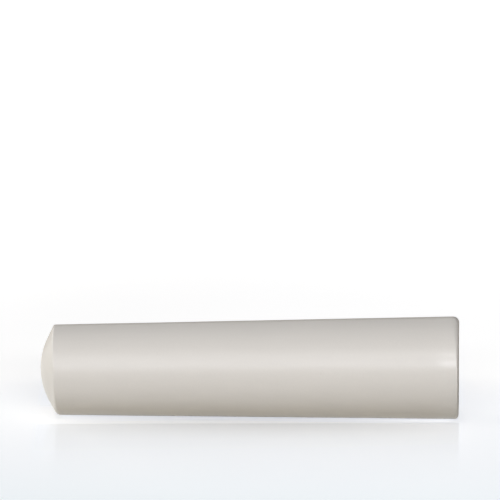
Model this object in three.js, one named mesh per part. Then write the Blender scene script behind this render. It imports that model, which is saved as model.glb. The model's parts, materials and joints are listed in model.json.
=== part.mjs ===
// A stick of railroad chalk: one thick, tapered, solid casting with a domed marking end and a flat butt.
// It lies on its side, with its dome towards -X and its butt towards +X.
// Millimetres, +Z up. The origin is on the surface it lies on, under the middle of the stick.

import * as THREE from "three";

// Driving dimensions
const LENGTH = 101.6; // overall, from the butt's face to the top of the dome
const BUTT_DIAMETER = 25; // where the side would meet the butt's face if that edge were sharp
const SHOULDER_DIAMETER = 22; // where the side would meet the dome if that edge were sharp
const DOME_HEIGHT = 3.6;
const DOME_SLOPE_DEGREES = 27; // how steeply the dome's outer part, a cone, falls away to the shoulder
const BUTT_EDGE_RADIUS = 1.2;
const SHOULDER_EDGE_RADIUS = 1;

// Fineness of the surface
const SIDES = 60; // an even number, so that one flat faces straight down
const BUTT_EDGE_STEPS = 7;
const SHOULDER_EDGE_STEPS = 5;
const DOME_TOP_STEPS = 12;

// Worked out from the driving dimensions
const buttRadius = BUTT_DIAMETER / 2;
const shoulderRadius = SHOULDER_DIAMETER / 2;
const taper = Math.atan((buttRadius - shoulderRadius) / (LENGTH - DOME_HEIGHT));
const domeSlope = THREE.MathUtils.degToRad(DOME_SLOPE_DEGREES);
const facingOut = Math.PI / 2 - domeSlope; // the direction that the dome's cone faces
// The cone runs smoothly into the round top, so the radius of the top follows from the cone and the height.
const domeTopRadius = (shoulderRadius * Math.tan(domeSlope) - DOME_HEIGHT) / (1 / Math.cos(domeSlope) - 1);

// Half of the stick's section, standing on its butt: x is the distance from the axis and y the height.
// Each arc is given by its centre, its radius and the two directions it runs between.
function arc(centreX, centreY, radius, from, to, steps) {
  return new THREE.EllipseCurve(centreX, centreY, radius, radius, from, to).getPoints(steps);
}

// The distance from the axis to a line that lies inside the side, at a given depth under its surface.
function insideSide(height, depth) {
  return buttRadius - height * Math.tan(taper) - depth / Math.cos(taper);
}

// The round edge between the butt's face and the side, which it meets smoothly.
function buttEdge() {
  const centreX = insideSide(BUTT_EDGE_RADIUS, BUTT_EDGE_RADIUS);
  return arc(centreX, BUTT_EDGE_RADIUS, BUTT_EDGE_RADIUS, -Math.PI / 2, taper, BUTT_EDGE_STEPS);
}

// The height of the centre of the shoulder's round edge. It lies as far under the side as under the cone,
// so it is where a line inside the side crosses a line inside the cone.
function shoulderEdgeCentre() {
  const coneAtAxis = LENGTH - DOME_HEIGHT + shoulderRadius * Math.tan(domeSlope);
  const underCone = coneAtAxis - SHOULDER_EDGE_RADIUS / Math.cos(domeSlope);
  const underSide = insideSide(0, SHOULDER_EDGE_RADIUS);
  return (underCone - underSide * Math.tan(domeSlope)) / (1 - Math.tan(taper) * Math.tan(domeSlope));
}

// The round shoulder, the cone inside it and the round top of the dome, up to the axis.
function shoulderAndDome() {
  const centreY = shoulderEdgeCentre();
  const centreX = insideSide(centreY, SHOULDER_EDGE_RADIUS);
  const topCentreY = LENGTH - domeTopRadius;
  return [
    ...arc(centreX, centreY, SHOULDER_EDGE_RADIUS, taper, facingOut, SHOULDER_EDGE_STEPS),
    ...arc(0, topCentreY, domeTopRadius, facingOut, Math.PI / 2, DOME_TOP_STEPS).slice(0, -1),
    new THREE.Vector2(0, LENGTH),
  ];
}

// The casting, turned about +Y with its butt's face at y = 0.
function chalkStick() {
  const section = [new THREE.Vector2(0, 0), ...buttEdge(), ...shoulderAndDome()];
  const halfFlat = Math.PI / SIDES;
  const material = new THREE.MeshStandardMaterial({ color: 0xdedbd3, roughness: 0.8, metalness: 0 });
  const mesh = new THREE.Mesh(new THREE.LatheGeometry(section, SIDES, halfFlat), material);
  mesh.name = "chalk_stick";
  return mesh;
}

// Lays a standing stick on the flat along its lower side, centred over the origin.
function layDown(stick) {
  const flatLean = Math.atan(Math.tan(taper) * Math.cos(Math.PI / SIDES));
  stick.rotation.z = Math.PI / 2; // from +Y to -X
  const lying = new THREE.Group();
  lying.add(stick);
  lying.rotation.y = -flatLean;
  const box = new THREE.Box3().setFromObject(lying, true);
  lying.position.set(-(box.min.x + box.max.x) / 2, 0, -box.min.z);
  return lying;
}

const railroadChalk = new THREE.Group();
railroadChalk.add(layDown(chalkStick()));

export default railroadChalk;
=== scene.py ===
# A stick of railroad chalk lying on a pale floor, in plain soft studio light.
# Metres, +Z up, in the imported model's frame: the dome points towards -X and the butt towards +X.

import json
import math

import bpy
import numpy as np
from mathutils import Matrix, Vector, noise


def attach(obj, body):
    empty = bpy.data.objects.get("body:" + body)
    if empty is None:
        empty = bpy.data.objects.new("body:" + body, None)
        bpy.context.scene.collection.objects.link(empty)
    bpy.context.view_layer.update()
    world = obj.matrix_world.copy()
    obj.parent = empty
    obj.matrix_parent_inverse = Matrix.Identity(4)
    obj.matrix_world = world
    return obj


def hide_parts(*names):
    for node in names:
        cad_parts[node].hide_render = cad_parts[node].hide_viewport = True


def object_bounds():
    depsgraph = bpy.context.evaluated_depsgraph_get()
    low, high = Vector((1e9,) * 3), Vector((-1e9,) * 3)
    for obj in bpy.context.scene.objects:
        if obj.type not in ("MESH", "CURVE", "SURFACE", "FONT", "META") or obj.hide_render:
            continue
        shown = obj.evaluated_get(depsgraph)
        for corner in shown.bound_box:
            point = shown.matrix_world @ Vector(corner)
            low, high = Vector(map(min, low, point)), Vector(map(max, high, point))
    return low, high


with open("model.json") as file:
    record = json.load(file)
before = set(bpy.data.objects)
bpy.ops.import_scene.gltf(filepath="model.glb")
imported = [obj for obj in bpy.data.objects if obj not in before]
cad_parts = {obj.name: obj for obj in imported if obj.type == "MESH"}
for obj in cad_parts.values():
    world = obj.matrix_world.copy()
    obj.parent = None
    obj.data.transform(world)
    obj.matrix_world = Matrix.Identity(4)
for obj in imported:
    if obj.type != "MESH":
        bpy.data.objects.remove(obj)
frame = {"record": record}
cad_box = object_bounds()

MM = 0.001

# The photograph's frame and the view that it gives
FRAME_PIXELS = 500
STICK_MIDDLE = Vector((0, 0, 12 * MM))
STICK_PLACE = (249.73, 367.73)  # the column and row of the photograph that this point lies on
VIEW_WIDTH = 121.63 * MM  # what the frame takes in at the stick
VIEW_DISTANCE = 3
VIEW_AZIMUTH = math.radians(1.75)
VIEW_ELEVATION = math.radians(18)
SENSOR_WIDTH = 36  # of the camera, in its own millimetres
SEEN_FROM, SEEN_TO = 0.1, 20  # the distances that the camera sees between

# The stick's driving dimensions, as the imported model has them
LENGTH = 101.6 * MM
BUTT_DIAMETER = 25 * MM
SHOULDER_DIAMETER = 22 * MM
DOME_HEIGHT = 3.6 * MM
DOME_SLOPE = math.radians(27)  # how steeply the dome's outer part, a cone, falls away to the shoulder

# How far the edges of this one stick are from even: each radius on top, at the sides and underneath
BUTT_EDGE = (1.7 * MM, 0.06 * MM, 1.1 * MM)
SHOULDER_EDGE = (0.6 * MM, 0.4 * MM, 1.8 * MM)
DOME_LEAN = math.radians(1.8)  # how far the dome stands out of square, its top outwards
BUTT_LEAN = math.radians(0.9)  # the same for the butt
BUTT_CURL = 0.2 * MM  # how far the butt's top and bottom stand proud of its sides
LEAN_FADE = 7 * MM  # how far along the side the leans die out

# What casting and handling leave on the surface. Depths and sizes are of single marks.
SWELLS = ((0.03 * MM, 20 * MM), (0.01 * MM, 3 * MM))  # height and size of the cast skin's unevenness
PITS = 14
PIT_DEPTH = (0.05 * MM, 0.14 * MM)
PIT_RADIUS = (0.4 * MM, 0.8 * MM)
NICKS = 5
NICK_DEPTH = (0.1 * MM, 0.25 * MM)
NICK_RADIUS = (0.8 * MM, 1.6 * MM)
MARKS_BELOW = 0.9 * BUTT_DIAMETER  # pits and nicks lie on the back only, and no higher than this
MARKS_SEED = 7
SCRAPE_HEIGHT = 0.006 * MM  # of the lines that striking the mould off level leaves on the butt's face
SCRAPE_PITCHES = (1.3 * MM, 2.1 * MM, 3.7 * MM)
SCRAPE_TURN = math.radians(25)  # from level

# Fineness of the mesh
SIDES = 256
STEP = 0.35 * MM  # between rings
BUTT_EDGE_RINGS = 12
SHOULDER_EDGE_RINGS = 9

butt_radius = BUTT_DIAMETER / 2
shoulder_radius = SHOULDER_DIAMETER / 2
taper = math.atan((butt_radius - shoulder_radius) / (LENGTH - DOME_HEIGHT))
facing_out = math.pi / 2 - DOME_SLOPE  # the direction that the dome's cone faces
dome_top_radius = (shoulder_radius * math.tan(DOME_SLOPE) - DOME_HEIGHT) / (1 / math.cos(DOME_SLOPE) - 1)


def direction(azimuth, elevation):
    """From the stick towards a place round it, by its angle from the front and its angle above level."""
    across = math.cos(elevation)
    return Vector((math.sin(azimuth) * across, -math.cos(azimuth) * across, math.sin(elevation)))


# The camera

def add_camera():
    """A long lens, raised so that the stick lies low in the frame."""
    back = direction(VIEW_AZIMUTH, VIEW_ELEVATION)
    right = Vector((math.cos(VIEW_AZIMUTH), math.sin(VIEW_AZIMUTH), 0))
    pixel = VIEW_WIDTH / FRAME_PIXELS
    beside, above = ((place - FRAME_PIXELS / 2) * pixel for place in STICK_PLACE)
    data = bpy.data.cameras.new("camera")
    data.sensor_width = SENSOR_WIDTH
    data.lens = SENSOR_WIDTH * VIEW_DISTANCE / VIEW_WIDTH
    data.clip_start = SEEN_FROM
    data.clip_end = SEEN_TO
    camera = bpy.data.objects.new("camera", data)
    camera.location = STICK_MIDDLE + back * VIEW_DISTANCE
    aim = STICK_MIDDLE + back.cross(right) * above - right * beside
    camera.rotation_euler = (aim - camera.location).to_track_quat("-Z", "Y").to_euler()
    bpy.context.scene.collection.objects.link(camera)
    bpy.context.scene.camera = camera


# The stick's shape. Each ring has one distance along the axis from the butt's face, and one distance
# from the axis, for every side. Angles round the axis start at the top.

angles = np.arange(SIDES) * 2 * math.pi / SIDES
upward = np.cos(angles)


def smooth(share):
    """From 0 to 1 with no corner at either end."""
    share = np.clip(share, 0, 1)
    return share**2 * (3 - 2 * share)


def round_the_stick(top, sides, bottom):
    """A value for every side, which passes smoothly through the three that are given."""
    even = (top + bottom) / 4 + sides / 2
    return even + (top - bottom) / 2 * upward + (even - sides) * (2 * upward**2 - 1)


def arc(centre_out, centre_along, radius, start, end, rings):
    """Rings on an arc from start to end, as (distance along, distance out), each rings by SIDES."""
    share = np.linspace(0, 1, rings)[:, None]
    turn = start + (end - start) * share
    return centre_along + radius * np.sin(turn) + 0 * upward, centre_out + radius * np.cos(turn)


def straight(start, end, rings):
    """Rings between two ends, each (distance along, distance out), without the ends themselves."""
    share = np.linspace(0, 1, rings + 2)[1:-1, None]
    return tuple(a + (b - a) * share for a, b in zip(start, end))


def inside_side(along, depth):
    """Distance from the axis to a line that lies this deep inside the side."""
    return butt_radius - along * math.tan(taper) - depth / math.cos(taper)


def shoulder_edge_centre(radius):
    """How far along the axis the centre of the shoulder's round edge lies."""
    slope = math.tan(DOME_SLOPE)
    cone_at_axis = LENGTH - DOME_HEIGHT + shoulder_radius * slope
    under_cone = cone_at_axis - radius / math.cos(DOME_SLOPE)
    under_side = inside_side(0, radius)
    return (under_cone - under_side * slope) / (1 - math.tan(taper) * slope)


def butt_rings():
    """The rings of the butt's face and the round edge that it ends in."""
    edge = round_the_stick(*BUTT_EDGE)
    out = inside_side(edge, edge)
    face = straight((0 * out, 0 * out), (0 * out, out), round(butt_radius / STEP))
    return [face, arc(out, edge, edge, -math.pi / 2, taper, BUTT_EDGE_RINGS)]


def dome_rings():
    """The rings of the shoulder's round edge, the cone and the dome's round top, without its middle."""
    edge = round_the_stick(*SHOULDER_EDGE)
    along = shoulder_edge_centre(edge)
    out = inside_side(along, edge)
    shoulder = arc(out, along, edge, taper, facing_out, SHOULDER_EDGE_RINGS)
    top_rings = round(dome_top_radius * DOME_SLOPE / STEP)
    top = arc(0 * out, LENGTH - dome_top_radius, dome_top_radius, facing_out, math.pi / 2, top_rings)
    cone_rings = round((shoulder_radius - dome_top_radius * math.sin(DOME_SLOPE)) / STEP)
    cone = straight([s[-1] for s in shoulder], [t[0] for t in top], cone_rings)
    return [shoulder, cone, [t[:-1] for t in top]]


def stick_points():
    """The points of the surface: the middle of the butt's face, the rings, and the top of the dome."""
    butt = butt_rings()
    dome = dome_rings()
    side = straight([b[-1] for b in butt[1]], [d[0] for d in dome[0]], round(LENGTH / STEP))
    along, out = (np.concatenate([part[i] for part in (*butt, side, *dome)]) for i in (0, 1))
    height = out * upward
    sideways = out * np.sin(angles)
    near_dome = smooth((along - LENGTH + DOME_HEIGHT) / LEAN_FADE + 1)
    near_butt = smooth(1 - along / LEAN_FADE)
    butt_shift = math.tan(BUTT_LEAN) * height + BUTT_CURL * (height / butt_radius) ** 2
    along = along + near_dome * math.tan(DOME_LEAN) * height - near_butt * butt_shift
    rings = np.stack([along, height, sideways], axis=-1).reshape(-1, 3)
    return np.concatenate([[(0, 0, 0)], rings, [(LENGTH, 0, 0)]])


def stick_faces(count):
    """Faces that join the points of stick_points."""
    rings = (count - 2) // SIDES
    side = np.arange(SIDES)
    after = (side + 1) % SIDES
    faces = [(0, 1 + b, 1 + a) for a, b in zip(side, after)]
    for ring in range(rings - 1):
        near = 1 + ring * SIDES
        far = near + SIDES
        faces += [(near + a, near + b, far + b, far + a) for a, b in zip(side, after)]
    last = 1 + (rings - 1) * SIDES
    faces += [(count - 1, last + a, last + b) for a, b in zip(side, after)]
    return faces


def butt_face_share(count):
    """For each point, 1 on the butt's face, falling to 0 across the round edge."""
    ring = (np.arange(count) - 1) // SIDES
    return np.clip(1 - (ring - round(butt_radius / STEP)) / BUTT_EDGE_RINGS, 0, 1)


def lay_down(points):
    """Points along and round the axis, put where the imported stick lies."""
    mount = frame["record"]["mounts"][0]
    outwards = Vector(mount["axis"])
    up = outwards.cross(Vector((0, 1, 0)))
    to_frame = np.array([-outwards, up, Vector((0, 1, 0))])
    placed = points @ to_frame + np.array(mount["pos_m"])
    placed[:, 2] -= placed[:, 2].min()
    return placed


# What casting and handling leave on it

def swells(points):
    """Height of the cast skin's gentle unevenness at each point."""
    return sum(height * np.array([noise.noise(Vector(point) / size) for point in points])
               for height, size in SWELLS)


def dents(points, candidates, count, depths, radii, random):
    """Depth of a number of round hollows, whose middles are drawn from the candidate points."""
    total = np.zeros(len(points))
    for middle in points[random.choice(candidates, count, replace=False)]:
        radius = random.uniform(*radii)
        away = np.linalg.norm(points - middle, axis=1) / radius
        total += random.uniform(*depths) * smooth(1 - away)
    return total


def scrapes(points):
    """Height of the parallel lines that striking the butt level leaves."""
    across = points[:, 1] * math.sin(SCRAPE_TURN) + points[:, 2] * math.cos(SCRAPE_TURN)
    return SCRAPE_HEIGHT * sum(np.sin(across * 2 * math.pi / pitch) for pitch in SCRAPE_PITCHES)


def relief(points, on_face):
    """How far each point stands out of the even shape."""
    random = np.random.default_rng(MARKS_SEED)
    unseen = (points[:, 1] > 0) & (points[:, 2] < MARKS_BELOW)
    rim = unseen & (on_face > 0) & (on_face < 1)
    pits = dents(points, np.flatnonzero(unseen), PITS, PIT_DEPTH, PIT_RADIUS, random)
    nicks = dents(points, np.flatnonzero(rim), NICKS, NICK_DEPTH, NICK_RADIUS, random)
    return swells(points) + scrapes(points) * on_face - pits - nicks


def add_stick(material):
    """The whole stick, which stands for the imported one."""
    points = lay_down(stick_points())
    on_face = butt_face_share(len(points))
    mesh = bpy.data.meshes.new("chalk_stick_cast")
    mesh.from_pydata(points.tolist(), [], stick_faces(len(points)))
    outwards = np.empty(points.size)
    mesh.vertices.foreach_get("normal", outwards)
    points += outwards.reshape(-1, 3) * relief(points, on_face)[:, None]
    points[:, 2] -= points[:, 2].min()
    mesh.vertices.foreach_set("co", points.ravel())
    mesh.attributes.new("butt_face", "FLOAT", "POINT").data.foreach_set("value", on_face)
    mesh.shade_smooth()
    mesh.materials.append(material)
    stick = bpy.data.objects.new("chalk_stick_cast", mesh)
    bpy.context.scene.collection.objects.link(stick)
    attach(stick, "root")
    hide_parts("chalk_stick")


# Nodes that the materials share

NOISE_DETAIL = 2
NOISE_LOW, NOISE_HIGH = 0.3, 0.7  # the noise is mostly between these


def node(tree, kind, inputs=None, **settings):
    """A new node, its settings, and its inputs, each a value or the socket that feeds it."""
    made = tree.nodes.new(kind)
    for name, value in settings.items():
        setattr(made, name, value)
    for name, value in (inputs or {}).items():
        socket = made.inputs[name]
        if isinstance(value, bpy.types.NodeSocket):
            tree.links.new(value, socket)
        elif socket.type == "VECTOR" and isinstance(value, (int, float)):
            socket.default_value = (value, value, value)
        else:
            socket.default_value = value
    return made


def empty_tree(owner):
    """The node tree of a material or world, emptied."""
    owner.use_nodes = True
    owner.node_tree.nodes.clear()
    return owner.node_tree


def combine(tree, first, second, operation):
    """One number made of two."""
    return node(tree, "ShaderNodeMath", {0: first, 1: second}, operation=operation).outputs[0]


def rest_of(tree, share):
    """What a share leaves of 1."""
    return combine(tree, 1, share, "SUBTRACT")


def spread_evenly(tree, value, start, end, low, high, curve="LINEAR"):
    """The value, taken from the range start to end into the range low to high and held there."""
    inputs = {"Value": value, "From Min": start, "From Max": end, "To Min": low, "To Max": high}
    return node(tree, "ShaderNodeMapRange", inputs, interpolation_type=curve).outputs[0]


def spread(tree, value, start, end, low, high):
    """The same, without a corner at either end."""
    return spread_evenly(tree, value, start, end, low, high, curve="SMOOTHSTEP")


def steps(tree, value, points):
    """The value turned into a colour, through points that each give a value and its colour."""
    start, end = points[0][0], points[-1][0]
    ramp = node(tree, "ShaderNodeValToRGB", {"Fac": spread_evenly(tree, value, start, end, 0, 1)})
    stops = ramp.color_ramp.elements
    while len(stops) < len(points):
        stops.new(1)
    for stop, (at, colour) in zip(stops, points):
        stop.position = (at - start) / (end - start)
        stop.color = (*colour, 1)
    return ramp.outputs["Color"]


def scaled(tree, colour, scale, added):
    """A colour times a scale, plus a number or colour."""
    inputs = {0: colour, 1: scale, 2: added}
    return node(tree, "ShaderNodeVectorMath", inputs, operation="MULTIPLY_ADD").outputs[0]


def blobs(tree, place, sizes, low, high):
    """A smooth random value from low to high, whose blobs have these sizes along X, Y and Z."""
    squeezed = node(tree, "ShaderNodeMapping", {"Vector": place, "Scale": [1 / size for size in sizes]})
    pattern = node(tree, "ShaderNodeTexNoise", {
        "Vector": squeezed.outputs[0], "Scale": 1, "Detail": NOISE_DETAIL})
    return spread(tree, pattern.outputs["Fac"], NOISE_LOW, NOISE_HIGH, low, high)


def pinholes(tree, place, spacing, radius, share):
    """1 in the middle of tiny holes and 0 between them. Only a share of the cells holds one."""
    cells = node(tree, "ShaderNodeTexVoronoi", {"Vector": place, "Scale": 1 / spacing})
    hole = spread(tree, cells.outputs["Distance"], 0, radius / spacing, 1, 0)
    pick = node(tree, "ShaderNodeSeparateColor", {"Color": cells.outputs["Color"]})
    held = combine(tree, pick.outputs[0], share, "LESS_THAN")
    return combine(tree, hole, held, "MULTIPLY")


def seen_directly(tree):
    """1 for rays from the camera, off a gloss or through glass, and 0 for the rays that light things."""
    path = node(tree, "ShaderNodeLightPath").outputs
    gloss = combine(tree, path["Is Camera Ray"], path["Is Glossy Ray"], "MAXIMUM")
    return combine(tree, gloss, path["Is Transmission Ray"], "MAXIMUM")


# The chalk

CHALK_COLOUR = (0.739, 0.698, 0.637)

# Unevenness of the colour: its share of the colour, up and down, and the size of its blobs
CLOUDS = (0.006, (18 * MM, 18 * MM, 18 * MM))
STREAKS = (0.004, (30 * MM, 1.5 * MM, 1.5 * MM))
GRAIN = (0.006, (0.5 * MM, 0.5 * MM, 0.5 * MM))

# Tiny holes, whose darkening in colour is painted shade
HOLE_SPACING = 2.5 * MM
HOLE_RADIUS = 0.25 * MM
HOLE_SHARE = 0.12  # of the places where one could be
# how much the painted shade in the holes darkens the colour
HOLE_PAINTED_SHADE = 0.06
HOLE_DEPTH = 0.05 * MM
TOOTH_HEIGHT = 0.004 * MM  # of the surface's own roughness to the touch
TOOTH_SIZES = (0.35 * MM, 0.35 * MM, 0.35 * MM)

# Sheen, which is lower the higher the roughness is
CHALK_ROUGHNESS = 0.37
CHALK_GLOSS = 0.42
POLISH_SPREAD = 0.02  # how far the roughness varies, up and down
POLISH_SIZES = (6 * MM, 2 * MM, 2 * MM)
HANDLED_LENGTH = 7 * MM  # at the butt end, where the stick is held and its skin has more sheen
HANDLED_ROUGHNESS = 0.3
HANDLED_GLOSS = 0.6
FACE_ROUGHNESS = 0.8  # on the butt's face, which was struck off and not cast, and has no sheen

# Dust dulls the upper side where it is seen at a low angle: not at all at the first of these heights and
# turns away from the eye, and fully at the second
DUST_HEIGHTS = (10 * MM, 17 * MM)
DUST_TURNS = (0.35, 0.75)


def chalk_colour(tree, place, holes):
    """Even in colour, but for faint cloudiness, lengthwise streaks, grain, and painted shade that darkens
    the holes.
    """
    clouds, streaks, grain = (blobs(tree, place, sizes, -share, share)
                              for share, sizes in (CLOUDS, STREAKS, GRAIN))
    shade = combine(tree, combine(tree, clouds, streaks, "ADD"), grain, "ADD")
    # painted shade in the holes
    shade = combine(tree, shade, combine(tree, holes, HOLE_PAINTED_SHADE, "MULTIPLY"), "SUBTRACT")
    inputs = {0: CHALK_COLOUR, "Scale": combine(tree, shade, 1, "ADD")}
    return node(tree, "ShaderNodeVectorMath", inputs, operation="SCALE").outputs[0]


def chalk_roughness(tree, place, handled, face):
    """A little uneven all over, lower where the stick is held and high on the butt's face."""
    low, high = CHALK_ROUGHNESS - POLISH_SPREAD, CHALK_ROUGHNESS + POLISH_SPREAD
    uneven = blobs(tree, place, POLISH_SIZES, low, high)
    polish = combine(tree, handled, HANDLED_ROUGHNESS - CHALK_ROUGHNESS, "MULTIPLY")
    dull = combine(tree, face, FACE_ROUGHNESS - HANDLED_ROUGHNESS, "MULTIPLY")
    return combine(tree, uneven, combine(tree, polish, dull, "ADD"), "ADD")


def chalk_gloss(tree, z, handled, face):
    """The sheen's strength: none on the butt's face, and less where dust is seen at a low angle."""
    turned = node(tree, "ShaderNodeLayerWeight", {"Blend": 0.5}).outputs["Facing"]
    low_angle = spread_evenly(tree, turned, *DUST_TURNS, 0, 1)
    dust = combine(tree, low_angle, spread(tree, z, *DUST_HEIGHTS, 0, 1), "MULTIPLY")
    clean = spread_evenly(tree, handled, 0, 1, CHALK_GLOSS, HANDLED_GLOSS)
    side = combine(tree, rest_of(tree, dust), clean, "MULTIPLY")
    return combine(tree, side, rest_of(tree, face), "MULTIPLY")


def chalk_bump(tree, place, holes):
    """The tooth of the surface and the hollows of the holes."""
    tooth = blobs(tree, place, TOOTH_SIZES, 0, TOOTH_HEIGHT)
    height = combine(tree, tooth, combine(tree, holes, HOLE_DEPTH, "MULTIPLY"), "SUBTRACT")
    return node(tree, "ShaderNodeBump", {"Height": height, "Strength": 1, "Distance": 1}).outputs[0]


def chalk_material():
    """Cast chalk with the low sheen of its skin."""
    material = bpy.data.materials.new("chalk")
    tree = empty_tree(material)
    place = node(tree, "ShaderNodeTexCoord").outputs["Object"]
    apart = node(tree, "ShaderNodeSeparateXYZ", {"Vector": place}).outputs
    butt = cad_box[1][0]
    handled = spread(tree, apart["X"], butt - HANDLED_LENGTH, butt - HANDLED_LENGTH / 3, 0, 1)
    face = node(tree, "ShaderNodeAttribute", attribute_name="butt_face").outputs["Fac"]
    holes = pinholes(tree, place, HOLE_SPACING, HOLE_RADIUS, HOLE_SHARE)
    surface = node(tree, "ShaderNodeBsdfPrincipled", {
        "Base Color": chalk_colour(tree, place, holes),
        "Roughness": chalk_roughness(tree, place, handled, face),
        "Specular IOR Level": chalk_gloss(tree, apart["Z"], handled, face),
        "Normal": chalk_bump(tree, place, holes),
    })
    node(tree, "ShaderNodeOutputMaterial", {"Surface": surface.outputs[0]})
    return material


# The floor

FLOOR_REACH = 3  # from its middle to each edge
FLOOR_COLOUR = (0.585, 0.555, 0.475, 1)

# How the open floor looks, by distance behind the middle of the stick
FLOOR_LOOK = ((-66 * MM, (0.83, 0.874, 0.904)),
              (-36 * MM, (0.885, 0.906, 0.933)),
              (11 * MM, (0.945, 0.957, 0.977)),
              (30 * MM, (1, 1, 1)))
FLOOR_WHITE_FROM = 80 * MM  # further out than this it fades to plain white
FLOOR_WHITE_BY = 250 * MM

# What the lamps and the world alone give the open floor by the stick, which its glow doesn't add again
FLOOR_LAMPLIGHT = (0.346, 0.334, 0.295)
LAMPLIGHT_LEAN = 0.015  # more than that at the left end of the stick, and less at the right end

# Soft shade round the foot of the stick: by how much of the sky is open, up to the reach
SHADE_REACH = 60 * MM
SHADE_SAMPLES = 16
SHADE_FROM, SHADE_FULL = 0.8, 0.28
SHADE_DEPTH = 0.26
SHADE_HALF_LENGTH = 52 * MM  # it dies out towards the ends of the stick

# Light added in front of the stick, where its own overhang would make the floor too dark
FOOT_LIGHT = 0.28
FOOT_FULL, FOOT_NONE = 0.03, 0.19  # by how much of the sky is open
FOOT_EDGE = -2 * MM  # it is in full from this line to the front

# The stick's faint reflection, by distance from a line along the middle of the stick
MIRROR_SHARE = ((0, 0), (6.3 * MM, 0), (7.2 * MM, 0.2), (12 * MM, 0.2),
                (25 * MM, 0.12), (33 * MM, 0.06), (52 * MM, 0))
MIRROR_SLOPE = 0.04  # of that line against the stick, as the reflection's near edge has it
MIRROR_END = 53 * MM  # it has died out this far to each side
MIRROR_COLOUR = (0.85, 0.91, 1, 1)
MIRROR_ROUGHNESS = 0.02


def foot_shade(tree, x, sky):
    """What the shade round the foot of the stick leaves of the floor's brightness, from 0 to 1."""
    along = combine(tree, x, SHADE_HALF_LENGTH, "DIVIDE")
    middle = combine(tree, rest_of(tree, combine(tree, along, along, "MULTIPLY")), 0, "MAXIMUM")
    shade = spread_evenly(tree, sky, SHADE_FULL, SHADE_FROM, SHADE_DEPTH, 0)
    return rest_of(tree, combine(tree, shade, middle, "MULTIPLY"))


def foot_light(tree, y, sky):
    """The light that makes up for what the lamps can't give right under the front of the stick."""
    front = spread(tree, y, FOOT_EDGE, 0, 1, 0)
    light = spread_evenly(tree, sky, FOOT_FULL, FOOT_NONE, FOOT_LIGHT, 0)
    return combine(tree, light, front, "MULTIPLY")


def floor_glow(tree, place, x, y):
    """What the floor adds to the lamps' light, so that it looks as the photograph's does."""
    around = node(tree, "ShaderNodeAmbientOcclusion", {"Distance": SHADE_REACH}, samples=SHADE_SAMPLES)
    sky = around.outputs["AO"]
    lean = spread(tree, x, -LENGTH / 2, LENGTH / 2, -LAMPLIGHT_LEAN, LAMPLIGHT_LEAN)
    light = combine(tree, foot_light(tree, y, sky), lean, "ADD")
    added = node(tree, "ShaderNodeVectorMath", {0: light, 1: FLOOR_LAMPLIGHT}, operation="SUBTRACT")
    near = scaled(tree, steps(tree, y, FLOOR_LOOK), foot_shade(tree, x, sky), added.outputs[0])
    away = node(tree, "ShaderNodeVectorMath", {0: place}, operation="LENGTH").outputs["Value"]
    far = spread(tree, away, FLOOR_WHITE_FROM, FLOOR_WHITE_BY, 0, 1)
    return scaled(tree, near, rest_of(tree, far), far)


def mirror_share(tree, x, y):
    """How much of the floor's look is a mirror's."""
    off_line = combine(tree, y, combine(tree, x, MIRROR_SLOPE, "MULTIPLY"), "SUBTRACT")
    points = [(distance, (share, share, share)) for distance, share in MIRROR_SHARE]
    share = steps(tree, combine(tree, off_line, 0, "ABSOLUTE"), points)
    beside = spread(tree, combine(tree, x, 0, "ABSOLUTE"), LENGTH / 2, MIRROR_END, 1, 0)
    return combine(tree, share, beside, "MULTIPLY")


def floor_material():
    """A matt floor that the stick is faintly mirrored in. Only the camera and glosses see its glow."""
    material = bpy.data.materials.new("floor")
    tree = empty_tree(material)
    place = node(tree, "ShaderNodeTexCoord").outputs["Object"]
    apart = node(tree, "ShaderNodeSeparateXYZ", {"Vector": place}).outputs
    x, y = apart["X"], apart["Y"]
    direct = seen_directly(tree)
    matt = node(tree, "ShaderNodeBsdfPrincipled", {
        "Base Color": FLOOR_COLOUR,
        "Roughness": 1,
        "Specular IOR Level": 0,
        "Emission Color": floor_glow(tree, place, x, y),
        "Emission Strength": direct,
    })
    mirror = node(tree, "ShaderNodeBsdfGlossy", {"Color": MIRROR_COLOUR, "Roughness": MIRROR_ROUGHNESS})
    mirrored = combine(tree, mirror_share(tree, x, y), direct, "MULTIPLY")
    surface = node(tree, "ShaderNodeMixShader", {0: mirrored, 1: matt.outputs[0], 2: mirror.outputs[0]})
    node(tree, "ShaderNodeOutputMaterial", {"Surface": surface.outputs[0]})
    return material


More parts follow.
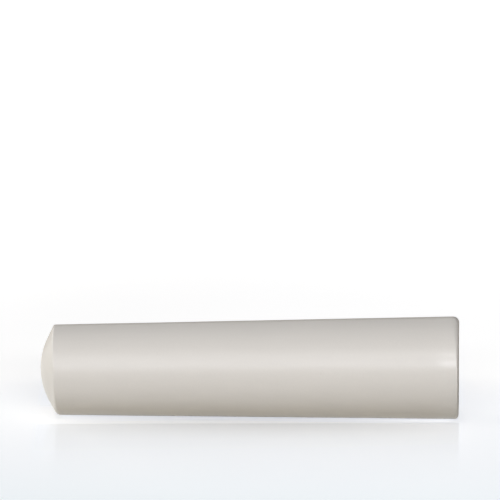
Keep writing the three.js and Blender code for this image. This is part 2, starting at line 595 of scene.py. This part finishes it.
def add_floor():
    """One level square, wide enough to fill the frame."""
    near, far = -FLOOR_REACH, FLOOR_REACH
    mesh = bpy.data.meshes.new("floor")
    mesh.from_pydata([(near, near, 0), (far, near, 0), (far, far, 0), (near, far, 0)], [], [(0, 1, 2, 3)])
    mesh.materials.append(floor_material())
    floor = bpy.data.objects.new("floor", mesh)
    bpy.context.scene.collection.objects.link(floor)


# The world and the lamps

WHITE = (1, 1, 1)
WORLD_LIGHT = 0.05  # how much of white the world gives the stick
LAMP_DISTANCE = 1.2


def add_world():
    """White where it is seen, and dimmer where it lights the stick."""
    world = bpy.data.worlds.new("studio")
    tree = empty_tree(world)
    strength = node(tree, "ShaderNodeMix", {"Factor": seen_directly(tree), "A": WORLD_LIGHT, "B": 1.0})
    inputs = {"Color": (*WHITE, 1), "Strength": strength.outputs[0]}
    background = node(tree, "ShaderNodeBackground", inputs)
    node(tree, "ShaderNodeOutputWorld", {"Surface": background.outputs[0]})
    bpy.context.scene.world = world


def add_lamp(name, azimuth, elevation, width, height, level, colour=WHITE):
    """A soft box turned towards the stick, by its angles in degrees and its size in metres.

    level is how bright it makes a white surface that faces it.
    """
    data = bpy.data.lights.new(name, "AREA")
    data.shape = "RECTANGLE"
    data.size = width
    data.size_y = height
    data.energy = level * math.pi**2 * LAMP_DISTANCE**2
    data.color = colour
    lamp = bpy.data.objects.new(name, data)
    lamp.visible_camera = False
    away = direction(math.radians(azimuth), math.radians(elevation))
    lamp.location = away * LAMP_DISTANCE
    lamp.rotation_euler = away.to_track_quat("Z", "Y").to_euler()
    bpy.context.scene.collection.objects.link(lamp)


add_camera()
add_stick(chalk_material())
add_floor()
add_world()

# Azimuth, elevation, width, height, level and colour
add_lamp("key", 9, 28, 1.2, 0.15, 0.525, (0.915, 0.932, 1))
add_lamp("upper", 8, 48, 1.2, 0.15, 0.305, (0.955, 0.97, 1))
add_lamp("left", -65, 28, 0.6, 0.3, 0.17)
add_lamp("left_low", -96, 5, 0.6, 0.2, 0.31, (0.955, 0.975, 1))
add_lamp("back_left", -130, 11, 0.6, 0.4, 0.28)
add_lamp("back_right", 160, 11, 0.6, 0.4, 0.13)

bpy.context.scene.view_settings.view_transform = "Standard"
